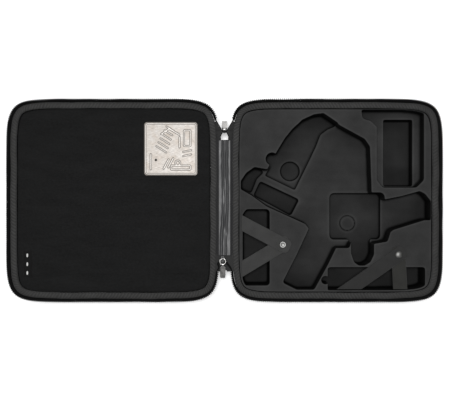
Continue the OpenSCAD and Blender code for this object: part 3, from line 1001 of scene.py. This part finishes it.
def tag():
    """Folded label: a soft-edged ribbon with three plain pale bars of one length."""
    lo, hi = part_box("woven_tag")
    cols, rows = 17, 47
    x = np.linspace(lo.x, hi.x, cols)
    y = np.linspace(lo.y, hi.y, rows)
    gx, gy = np.meshgrid(x, y)
    edge = np.minimum(np.minimum(gx - lo.x, hi.x - gx) / 0.0015,
                      np.minimum(gy - lo.y, hi.y - gy) / 0.0015)
    rise = np.clip(edge, 0, 1) ** 0.5
    p = np.column_stack([gx.ravel(), gy.ravel()])
    z = lo.z + 0.0003 + 0.0006 * rise.ravel() + 0.00012 * smooth_noise(p, 0.02, 61)
    top = np.column_stack([p, z])
    under = np.column_stack([p, np.full(len(p), lo.z)])
    closed_sheet("woven_tag_shown", top, under, rows, TAG, p, body="lid",
                 replaces=["woven_tag"], slot="tag_cloth")
    # The bars are woven in along the middle
    middle, half_bar, face = (lo.x + hi.x) / 2, 0.0032, lo.z + 0.00095
    verts, faces = joined(
        prism((middle, y - half_bar, face), (middle, y + half_bar, face), 0.0016, 0.0003)
        for y in np.linspace(lo.y + 0.008, hi.y - 0.008, 3))
    make("woven_tag_bars", verts, faces, "lid", PALE, slot="tag_cloth")


tag()


# ---- spine

# Each side of the spine: its sign in x, and the name of the half on that side
SIDES = ((1, "base"), (-1, "lid"))
CLOTH = 0.0009  # thickness


def sheet_between(name, p, top, thickness, rows, material):
    """Closed sheet over a grid of points p, with its upper side at top."""
    return closed_sheet(name, np.column_stack([p, top]), np.column_stack([p, top - thickness]),
                        rows, material, p)


def cloth(name, xs, ys, height, thickness, material):
    """Thin closed sheet over x columns and y rows. height(x, y) gives its top."""
    gx, gy = np.meshgrid(xs, ys)
    p = np.column_stack([gx.ravel(), gy.ravel()])
    obj = sheet_between(name, p, height(p[:, 0], p[:, 1]), thickness, len(ys), material)
    with_sharp_edges(obj, 45)
    return obj


def fold(obj, replaces):
    """Bakes a piece's transform into its mesh and hides the CAD nodes it stands for."""
    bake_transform(obj)
    return assign(obj, replaces=replaces)


def lining_height(x, y):
    """Lengthwise folds that drift sideways and fade towards the edges."""
    drift = 0.0016 * np.sin(y * 21 + 0.6) + 0.0009 * np.sin(y * 47 + 2.0)

    def ridge(at, follow, width):
        return np.exp(-((x - at - follow * drift) / width) ** 2)

    folds = (0.0016 * ridge(-0.0032, 1, 0.0021) + 0.0013 * ridge(0.0036, 0.6, 0.0017)
             - 0.0007 * ridge(0.0008, -1.3, 0.0013))
    fuzz = smooth_noise(np.column_stack([x, y * 0.35]), 0.006, 71)
    edge = np.clip((0.0094 - np.abs(x)) / 0.002, 0, 1)
    swell = 0.75 + 0.25 * np.sin(y * 13 + 1)
    return SPINE_LO.z + 0.0006 + edge * swell * folds + edge * 0.00008 * fuzz


def under_height(x, y):
    """The outer cloth dips where it passes under the shells' edges."""
    dip = np.clip((np.abs(x) - 0.011) / 0.003, 0, 1)
    wave = smooth_noise(np.column_stack([x, y]), 0.02, 73)
    return SPINE_LO.z - 0.0002 - 0.0008 * dip + 0.0002 * wave


for side, end in SIDES:
    ys = np.linspace(SPINE_LO.y, SPINE_HI.y, 260)
    xs = side * np.linspace(0, 0.0095, 33)[::side]
    lining = cloth("spine_lining_" + end, xs, ys, lining_height, 0.0005, SATIN)
    fold(lining, ["spine_lining"])
    xs = side * np.linspace(0, 0.0146, 33)[::side]
    ys = np.linspace(SPINE_LO.y - 0.001, SPINE_HI.y + 0.001, 130)
    under = cloth("spine_cloth_" + end, xs, ys, under_height, CLOTH, SPINE)
    fold(under, ["spine_strip"])


# ---- zipper ends

def tape_end(name, path, top_z, low_z, lean, side):
    """Tape along path [(x, y)], from top_z down to low_z, whose foot leans out in x."""
    n, levels = len(path), 7
    a = np.column_stack([path, top_z])
    b = np.column_stack([path[:, 0] + lean, path[:, 1], low_z])
    d = np.gradient(path, axis=0)
    d /= np.linalg.norm(d, axis=1)[:, None]
    out = np.cross(np.column_stack([d, np.zeros(n)]), b - a)
    out /= np.linalg.norm(out, axis=1)[:, None]
    shares = np.linspace(0, 1, levels)
    walls = [np.concatenate([a + (b - a) * t + out * CLOTH * k for t in shares])
             for k in (-0.5, 0.5)]
    for p in walls:
        p[:, 0] *= side
    uv = np.column_stack([np.tile(lengths(path), levels), np.repeat(0.01 * shares, n)])
    obj = closed_sheet(name, *walls, levels, TAPE, uv)
    with_sharp_edges(obj, 45)
    return obj


def curve_points(stops, count):
    """Smooth path through the stops (Catmull-Rom), evenly stepped in the parameter."""
    s = np.asarray(stops, float)
    s = np.vstack([2 * s[0] - s[1], s, 2 * s[-1] - s[-2]])
    out = []
    t = np.linspace(0, len(stops) - 1 - 1e-9, count)
    for v in t:
        k = int(v)
        f = v - k
        p0, p1, p2, p3 = s[k], s[k + 1], s[k + 2], s[k + 3]
        out.append(0.5 * (2 * p1 + (p2 - p0) * f + (2 * p0 - 5 * p1 + 4 * p2 - p3) * f ** 2
                          + (3 * p1 - p0 - 3 * p2 + p3) * f ** 3))
    return np.array(out)


def end_of_zipper(u):
    p, _, _ = rim.at([u], 0.0022)
    return p[0] + np.array([BASE_X, 0])


def reach(y):
    """How far the binding's outer side lies from the spine's middle at y."""
    share = (1 - (np.abs(y) / HALF_D) ** EXPONENT) ** (1 / EXPONENT)
    return BASE_X - HALF_W * share + BIND_IN + 0.0006


def span(ys, inner, cols, side):
    """Grid from an inner edge out to a binding: each point's distance from the
    spine's middle, and the points themselves."""
    s = np.linspace(0, 1, cols)
    gx = (inner[:, None] + (reach(ys) - inner)[:, None] * s[None, :]).ravel()
    return gx, np.column_stack([gx * side, np.repeat(ys, cols)])


def web(name, ys, inner, z, side):
    """Cloth between an inner edge and a binding: inner(y) is that edge's distance
    from the spine's middle, and z(y) its height."""
    cols, dip = 14, 0.0035
    _, p = span(ys, inner(ys), cols, side)
    fall = np.tile(dip * np.linspace(0, 1, cols) ** 1.5, len(ys))
    top = np.repeat(z(ys), cols) - fall + 0.0002 * smooth_noise(p, 0.008, 83)
    obj = sheet_between(name, p, top, CLOTH, len(ys), EDGE_CLOTH)
    return fold(obj, [])


for side, end in SIDES:
    # Upper arm: from the rim to the slider, where the tape turns flat, then to the spine
    a = end_of_zipper(ZIP_TO)
    stops = [(a[0] + 0.0006, a[1] + 0.003), (a[0] - 0.0005, a[1] - 0.001), (0.0095, 0.1280),
             (0.0048, 0.1205), (0.0030, 0.1170), (0.0050, 0.1125), (0.0066, 0.1080),
             (0.0062, 0.1030), (0.0060, 0.0990)]
    path = curve_points(stops, 60)
    t = np.linspace(0, 1, 60)
    knots = [0, 0.15, 0.45, 0.6, 1]
    top_z = np.interp(t, knots, [ZIP_TOP - 0.001, 0.0660, 0.0575, 0.0565, 0.0570])
    low_z = np.interp(t, knots, [0.0535, 0.0530, 0.0500, 0.0510, 0.0545])
    lean = np.interp(t, [0, 0.3, 0.5, 1], [0.0004, 0.0020, 0.0024, 0.0044])
    arm = tape_end("zipper_arm_upper_" + end, path, top_z, low_z, lean, side)
    fold(arm, ["zipper_tails_upper"])
    rise = np.argsort(path[:, 1])
    edge_x, edge_y, edge_z = path[rise, 0], path[rise, 1], top_z[rise]
    web("zipper_web_upper_" + end, np.linspace(0.0995, 0.1335, 40),
        lambda y: np.interp(y, edge_y, edge_x) + 0.0006,
        lambda y: np.interp(y, edge_y, edge_z) - 0.0008, side)
    # Lower arm: from the rim to the lower slider's mouth
    b = end_of_zipper(ZIP_FROM)
    shift = -0.0030 * side
    stops = [(b[0] + 0.0006, b[1] - 0.003), (b[0] - 0.0006, b[1] + 0.0015), (0.0088, -0.1140),
             (0.0062 + shift, -0.1080), (0.0035 + shift, -0.1045)]
    path = curve_points(stops, 40)
    t = np.linspace(0, 1, 40)
    top_z = np.interp(t, [0, 0.3, 0.5, 1], [ZIP_TOP - 0.001, 0.0630, 0.0602, 0.0598])
    low_z = np.interp(t, [0, 0.3, 0.75, 1], [0.0535, 0.0540, 0.0565, 0.0572])
    lean = np.interp(t, [0, 1], [0.0004, 0.0045])
    arm = tape_end("zipper_arm_lower_" + end, path, top_z, low_z, lean, side)
    fold(arm, [])


# Gusset: cloth between the two lower arms, under the slider
for side, end in SIDES:
    rows, cols = 34, 20
    y = np.linspace(SPINE_LO.y + 0.002, -0.121, rows)
    start = np.interp(-y, [0.090, 0.1165, 0.121], [0, 0, 0.0052])
    gx, p = span(y, start, cols, side)
    sag = 0.0012 * (1 - (gx / 0.012) ** 2)
    z = 0.0564 - sag + 0.00025 * smooth_noise(p, 0.008, 81)
    obj = sheet_between("zipper_gusset_" + end, p, z, CLOTH, rows, EDGE_CLOTH)
    fold(obj, ["zipper_gusset_lower"])

for node in ("slider_upper", "slider_lower"):
    refine(node, "spine", BLACK_METAL, bevel=0.00035)
refine("pull_ring_lower", "pull_ring_lower", NICKEL)
refine("pull_tab_lower", "pull_tab_lower", NICKEL, bevel=0.0003, segments=3)
refine("pull_tab_upper", "pull_tab_upper", NICKEL, bevel=0.0003, segments=3)


# ---- straps

STRAP_HALF = 0.012
STRAP_THICK = 0.0016
STRAP_ROUND = 0.008  # radius of the corners at the snap's end
STRAP_PAST = 0.0135  # how far the strap runs on past the snap
RISE = 0.0033  # how far an upper strap climbs onto the lower one
# The sewn box round the snap: its ends along the strap, and its half width
SEWN_FROM, SEWN_TO, SEWN_HALF = -0.0105, 0.0095, 0.0088


def strap(node, root, snap, material, slot, along_y, rise):
    """Webbing from its sewn root to its snap: crowned across, soft at its rounded end."""
    root, snap = np.array(root, float), np.array(snap, float)
    run = snap - root
    length = np.linalg.norm(run)
    d = run / length
    side = np.array([-d[1], d[0]])
    half, thick = STRAP_HALF, STRAP_THICK
    # Each lengthwise line starts at the wall, which cuts the strap at a slant
    cols, rows = 25, 120
    v = np.linspace(-half, half, cols)
    wall = root[0] if along_y else root[1]
    axis = 0 if along_y else 1
    grid = np.zeros((rows, cols, 3))
    uv = np.zeros((rows, cols, 2))
    slope = rise / run[axis]
    for j, w in enumerate(v):
        start = (wall - root[axis] - w * side[axis]) / d[axis]
        over = max(0.0, abs(w) - (half - STRAP_ROUND))
        round_off = STRAP_ROUND - math.sqrt(max(STRAP_ROUND ** 2 - over ** 2, 0))
        stop = length + STRAP_PAST - round_off
        s = start + (stop - start) * np.linspace(0, 1, rows)
        p = root[None, :] + s[:, None] * d[None, :] + w * side[None, :]
        sag = -0.0006 * np.sin(math.pi * np.clip(s / length, 0, 1)) * (1 if rise else 0.3)
        z = STRAP_Z + slope * (p[:, axis] - wall) + thick
        z = z + sag - 0.00025 * (abs(w) / half) ** 4
        z -= 0.0003 * np.clip((s - stop + 0.002) / 0.002, 0, 1)
        grid[:, j, :2] = p
        grid[:, j, 2] = z
        uv[:, j, 0] = s
        uv[:, j, 1] = w + half
    grid[:, :, 0] += BASE_X
    top = grid.reshape(-1, 3)
    under = top - (0, 0, thick - 0.0002)
    obj = closed_sheet(node + "_shown", top, under, rows, material, uv.reshape(-1, 2))
    assign(obj, node, [node])
    box = []
    near, far = length + SEWN_FROM, length + SEWN_TO
    corners = [(near, -SEWN_HALF), (far, -SEWN_HALF), (far, SEWN_HALF), (near, SEWN_HALF)]
    for k in range(4):
        (s0, w0), (s1, w1) = corners[k], corners[(k + 1) % 4]
        count = max(2, int(math.hypot(s1 - s0, w1 - w0) / 0.0026))
        for i in range(count):
            ends = []
            for f in (i / count + 0.06, (i + 0.72) / count):
                s, w = s0 + (s1 - s0) * f, w0 + (w1 - w0) * f
                p = root + s * d + w * side
                z = STRAP_Z + slope * (p[axis] - wall) + thick + 0.00004
                ends.append((p[0], p[1], z))
            box.append(tuple(ends))
    threads(node + "_stitches", box, 0.00022, False, node, slot)


strap("strap_left_lower", (-0.160, -0.117), (-0.090, -0.075), WEB_GREY, "webbing_grey",
      True, 0)
strap("strap_left_upper", (-0.160, -0.038), (-0.090, -0.075), WEB_GREY, "webbing_grey",
      True, RISE)
strap("strap_right_lower", (0.110, -0.151), (0.107, -0.092), WEB_OLIVE, "webbing_olive",
      False, 0)
strap("strap_right_upper", (0.023, -0.151), (0.107, -0.092), WEB_DARK, "webbing_grey",
      False, RISE)

for pair in ("left", "right"):
    low, high = "strap_" + pair + "_lower", "strap_" + pair + "_upper"
    for part, body in (("post", low), ("stud", low), ("socket", high), ("cap", high)):
        refine("snap_%s_%s" % (pair, part), body, SNAP, bevel=0.00012)


# ---- handle

refine("handle_brackets", "base", BLACK_METAL, bevel=0.0004)
refine("handle_rivets", "base", NICKEL)
refine("handle_pins", "base", NICKEL, bevel=0.0002)
refine("carry_handle", "handle", BLACK_PLASTIC, bevel=0.0014, segments=4)


# ---- stage, light and camera

def stage_material():
    n = Nodes("floor_white")
    patch = n.noise(n.where(), 3, 2)
    return n.finish(n.mix(patch, (0.86, 0.86, 0.86), (0.88, 0.88, 0.88)), 0.95,
                    Specular_IOR_Level=0.1, Emission_Color=(1, 1, 1, 1), Emission_Strength=0.3)


FLOOR_HALF, FLOOR_Z = 6, -0.0004
SQUARE = ((-1, -1), (1, -1), (1, 1), (-1, 1))
corners = [(x * FLOOR_HALF, y * FLOOR_HALF, FLOOR_Z) for x, y in SQUARE]
floor = make("floor", corners, [(0, 1, 2, 3)], material=stage_material())

world = bpy.data.worlds.new("studio")
bpy.context.scene.world = world
world.use_nodes = True
background = world.node_tree.nodes["Background"]
background.inputs[0].default_value = (1, 1, 1, 1)
background.inputs[1].default_value = 0.26

light = bpy.data.lights.new("key", "AREA")
light.shape = "SQUARE"
light.size = 0.45
light.energy = 40
key = add_object("key", light)
key.location = (-0.05, 0.12, 2.1)
key.rotation_euler = (-key.location).to_track_quat("-Z", "Y").to_euler()

camera_data = bpy.data.cameras.new("camera")
camera_data.sensor_width = 36
camera_data.lens = 61.2
camera_data.clip_start = 0.05
camera_data.clip_end = 30
camera = add_object("camera", camera_data)
camera.location = (0.0008, 0.0008, 1.358)
bpy.context.scene.camera = camera

view = bpy.context.scene.view_settings
view.view_transform = "Standard"
view.look = "None"
view.exposure = 0
